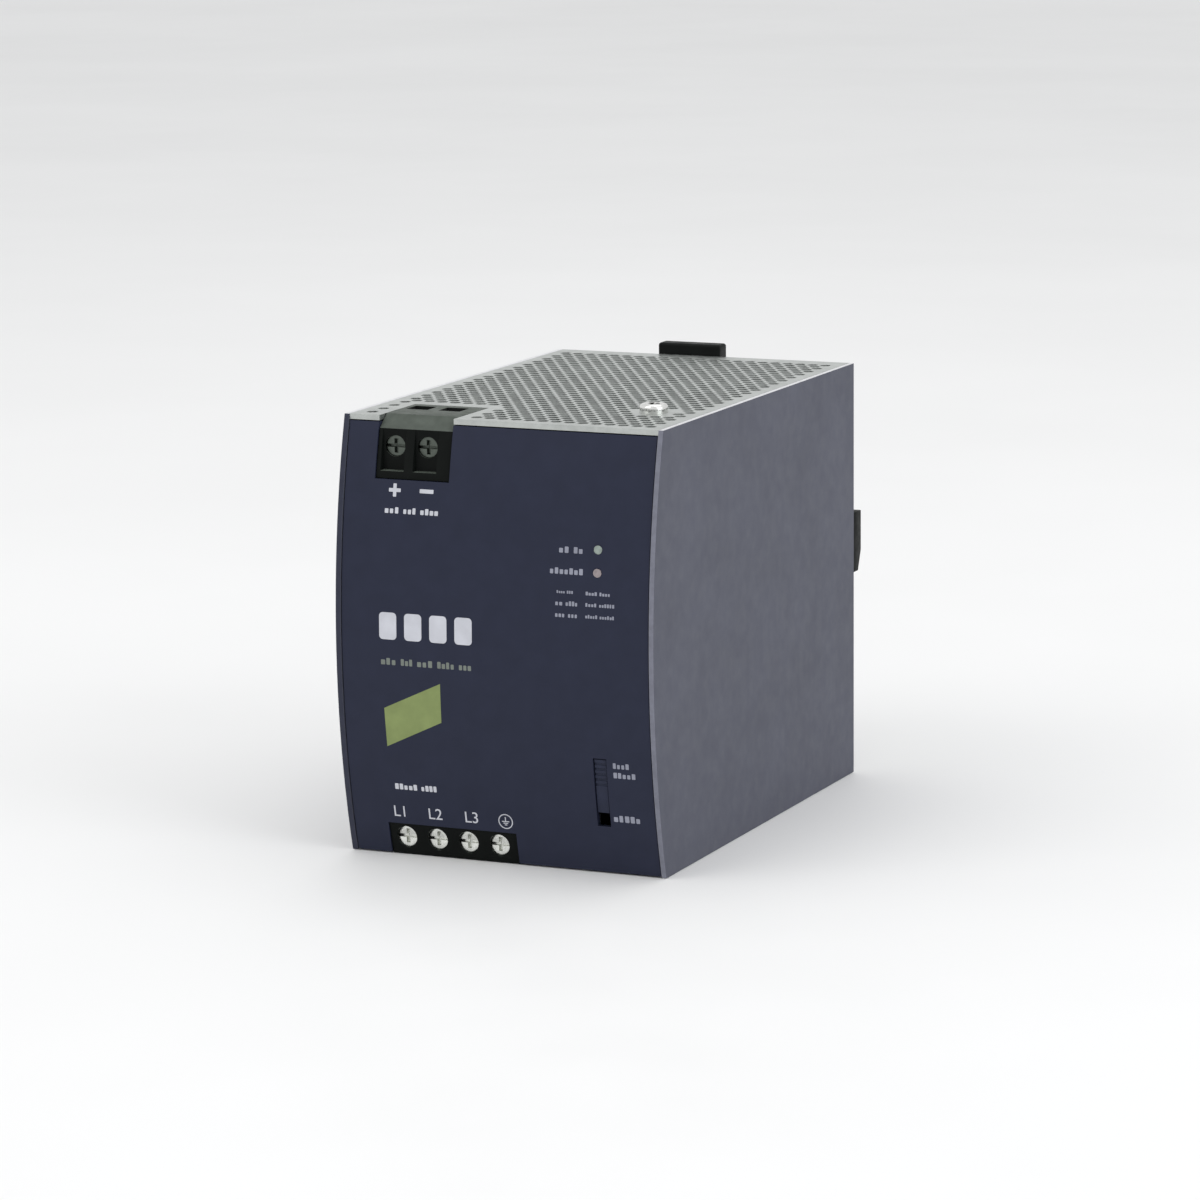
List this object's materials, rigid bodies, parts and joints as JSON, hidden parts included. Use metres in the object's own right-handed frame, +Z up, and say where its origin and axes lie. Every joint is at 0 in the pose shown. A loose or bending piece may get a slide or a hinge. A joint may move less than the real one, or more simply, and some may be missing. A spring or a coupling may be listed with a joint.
{
  "type": "din rail power supply",
  "caption": "Box-shaped mains-to-DC power supply with a bowed front, perforated covers and screw terminals, held on a 35 mm rail by hooks and a sprung release.",
  "frame": {"origin": "middle of the base of the unit's box, on the plane of the bottom cover", "axes": "+X across the unit to its right seen from the front, +Y from the front towards the rail, +Z up"},
  "size_m": [0.096, 0.163, 0.1274],
  "materials": {
    "side_finish": "matt blue-grey coating on sheet aluminium, cut edges bare",
    "front_finish": "satin dark navy coating",
    "zinc_sheet": "zinc-plated sheet steel, dull",
    "bright_steel": "bright nickel-plated steel",
    "terminal_screw_steel": "bright plated steel",
    "clamp_steel": "zinc-plated steel, satin",
    "spring_steel": "spring steel wire, satin",
    "black_plastic": "black glass-filled polyamide, matt",
    "terminal_plastic": "black flame-retardant polyamide, matt",
    "knob_plastic": "dark blue polyamide, matt",
    "tinned_copper": "tinned copper bar, satin",
    "brass_standoff": "turned brass, satin",
    "ok_lens": "clear acrylic light pipe, green when lit",
    "overload_lens": "clear acrylic light pipe, red when lit",
    "led_resin": "clear epoxy, glossy",
    "circuit_board": "green solder mask on glass-epoxy, satin",
    "header_plastic": "natural polyamide",
    "insulation_film": "milky polyester film",
    "fuse_ceramic": "white ceramic tube with nickel caps",
    "varistor_coat": "blue epoxy coat",
    "relay_case": "black moulded case",
    "ferrite": "dark grey sintered ferrite",
    "iron_powder": "yellow-coated iron powder ring",
    "enamelled_copper": "copper wire under clear enamel",
    "capacitor_box": "ochre moulded box",
    "capacitor_sleeve": "dark shrink sleeve over aluminium",
    "epoxy_case": "black moulding compound",
    "bobbin_plastic": "black phenolic",
    "winding_tape": "yellow polyester tape",
    "heatsink_aluminium": "extruded aluminium, satin"
  },
  "bodies": {
    "housing": {"board_header": "header_plastic", "board_screws": "bright_steel", "board_standoffs": "brass_standoff", "bottom_grille": "zinc_sheet", "bracket_screws": "bright_steel", "bridge_rectifier": "epoxy_case", "bulk_capacitors": "capacitor_sleeve", "cover_screws": "bright_steel", "earth_strap": "tinned_copper", "filter_capacitors": "capacitor_box", "filter_choke_core": "ferrite", "filter_choke_windings": "enamelled_copper", "front_board": "circuit_board", "front_panel": "front_finish", "indicator_leds": "led_resin", "input_contact_bars": "tinned_copper", "input_fuses": "fuse_ceramic", "input_terminal_housing": "terminal_plastic", "inrush_relay": "relay_case", "insulation_sheet": "insulation_film", "main_board": "circuit_board", "ok_light_pipe": "ok_lens", "output_busbars": "tinned_copper", "output_capacitors": "capacitor_sleeve", "output_choke_core": "iron_powder", "output_choke_winding": "enamelled_copper", "output_contact_bars": "tinned_copper", "output_heatsink": "heatsink_aluminium", "output_rectifiers": "epoxy_case", "output_terminal_housing": "terminal_plastic", "overload_light_pipe": "overload_lens", "primary_heatsink": "heatsink_aluminium", "primary_transistors": "epoxy_case", "rail_bracket": "black_plastic", "rear_screws": "bright_steel", "rear_wall": "zinc_sheet", "release_spring": "spring_steel", "selector_body": "black_plastic", "side_panel_left": "side_finish", "side_panel_right": "side_finish", "slider_guide": "zinc_sheet", "top_grille": "zinc_sheet", "transformer_bobbin": "bobbin_plastic", "transformer_core": "ferrite", "transformer_winding": "winding_tape", "varistors": "varistor_coat"},
    "input_clamp_earth": {"input_clamp_earth": "clamp_steel"},
    "input_clamp_l1": {"input_clamp_l1": "clamp_steel"},
    "input_clamp_l2": {"input_clamp_l2": "clamp_steel"},
    "input_clamp_l3": {"input_clamp_l3": "clamp_steel"},
    "input_screw_earth": {"input_screw_earth": "terminal_screw_steel"},
    "input_screw_l1": {"input_screw_l1": "terminal_screw_steel"},
    "input_screw_l2": {"input_screw_l2": "terminal_screw_steel"},
    "input_screw_l3": {"input_screw_l3": "terminal_screw_steel"},
    "output_clamp_minus": {"output_clamp_minus": "clamp_steel"},
    "output_clamp_plus": {"output_clamp_plus": "clamp_steel"},
    "output_screw_minus": {"output_screw_minus": "terminal_screw_steel"},
    "output_screw_plus": {"output_screw_plus": "terminal_screw_steel"},
    "release": {"release_slider": "black_plastic"},
    "selector": {"selector_knob": "knob_plastic"}
  },
  "joints": [
    {"name": "output_screw_plus_turn", "type": "hinge", "parent": "housing", "child": "output_screw_plus", "pos_m": [-0.0324, -0.0665, 0.1157], "axis": [0, 1, 0], "range_deg": [0, 1980]},
    {"name": "output_clamp_plus_slide", "type": "slide", "parent": "housing", "child": "output_clamp_plus", "axis": [0, -1, 0], "range_m": [0, 0.00385]},
    {"name": "output_screw_minus_turn", "type": "hinge", "parent": "housing", "child": "output_screw_minus", "pos_m": [-0.0225, -0.0665, 0.1157], "axis": [0, 1, 0], "range_deg": [0, 1980]},
    {"name": "output_clamp_minus_slide", "type": "slide", "parent": "housing", "child": "output_clamp_minus", "axis": [0, -1, 0], "range_m": [0, 0.00385]},
    {"name": "input_screw_l1_turn", "type": "hinge", "parent": "housing", "child": "input_screw_l1", "pos_m": [-0.03065, -0.0665, 0.0053], "axis": [0, 1, 0], "range_deg": [0, 2160]},
    {"name": "input_clamp_l1_slide", "type": "slide", "parent": "housing", "child": "input_clamp_l1", "axis": [0, -1, 0], "range_m": [0, 0.0036]},
    {"name": "input_screw_l2_turn", "type": "hinge", "parent": "housing", "child": "input_screw_l2", "pos_m": [-0.02115, -0.0665, 0.0053], "axis": [0, 1, 0], "range_deg": [0, 2160]},
    {"name": "input_clamp_l2_slide", "type": "slide", "parent": "housing", "child": "input_clamp_l2", "axis": [0, -1, 0], "range_m": [0, 0.0036]},
    {"name": "input_screw_l3_turn", "type": "hinge", "parent": "housing", "child": "input_screw_l3", "pos_m": [-0.01165, -0.0665, 0.0053], "axis": [0, 1, 0], "range_deg": [0, 2160]},
    {"name": "input_clamp_l3_slide", "type": "slide", "parent": "housing", "child": "input_clamp_l3", "axis": [0, -1, 0], "range_m": [0, 0.0036]},
    {"name": "input_screw_earth_turn", "type": "hinge", "parent": "housing", "child": "input_screw_earth", "pos_m": [-0.00215, -0.0665, 0.0053], "axis": [0, 1, 0], "range_deg": [0, 2160]},
    {"name": "input_clamp_earth_slide", "type": "slide", "parent": "housing", "child": "input_clamp_earth", "axis": [0, -1, 0], "range_m": [0, 0.0036]},
    {"name": "release_press", "type": "slide", "parent": "housing", "child": "release", "axis": [0, 0, -1], "range_m": [0, 0.004], "stiffness_N_per_m": 1500, "springref_m": -0.003, "deforming": ["release_spring"]},
    {"name": "selector_slide", "type": "slide", "parent": "housing", "child": "selector", "axis": [0, 0, -1], "range_m": [0, 0.0036]}
  ],
  "couplings": [
    {"joint": "output_screw_plus_turn", "follows": "output_clamp_plus_slide", "rad_per_m": 8976},
    {"joint": "output_screw_minus_turn", "follows": "output_clamp_minus_slide", "rad_per_m": 8976},
    {"joint": "input_screw_l1_turn", "follows": "input_clamp_l1_slide", "rad_per_m": 10472},
    {"joint": "input_screw_l2_turn", "follows": "input_clamp_l2_slide", "rad_per_m": 10472},
    {"joint": "input_screw_l3_turn", "follows": "input_clamp_l3_slide", "rad_per_m": 10472},
    {"joint": "input_screw_earth_turn", "follows": "input_clamp_earth_slide", "rad_per_m": 10472}
  ]
}
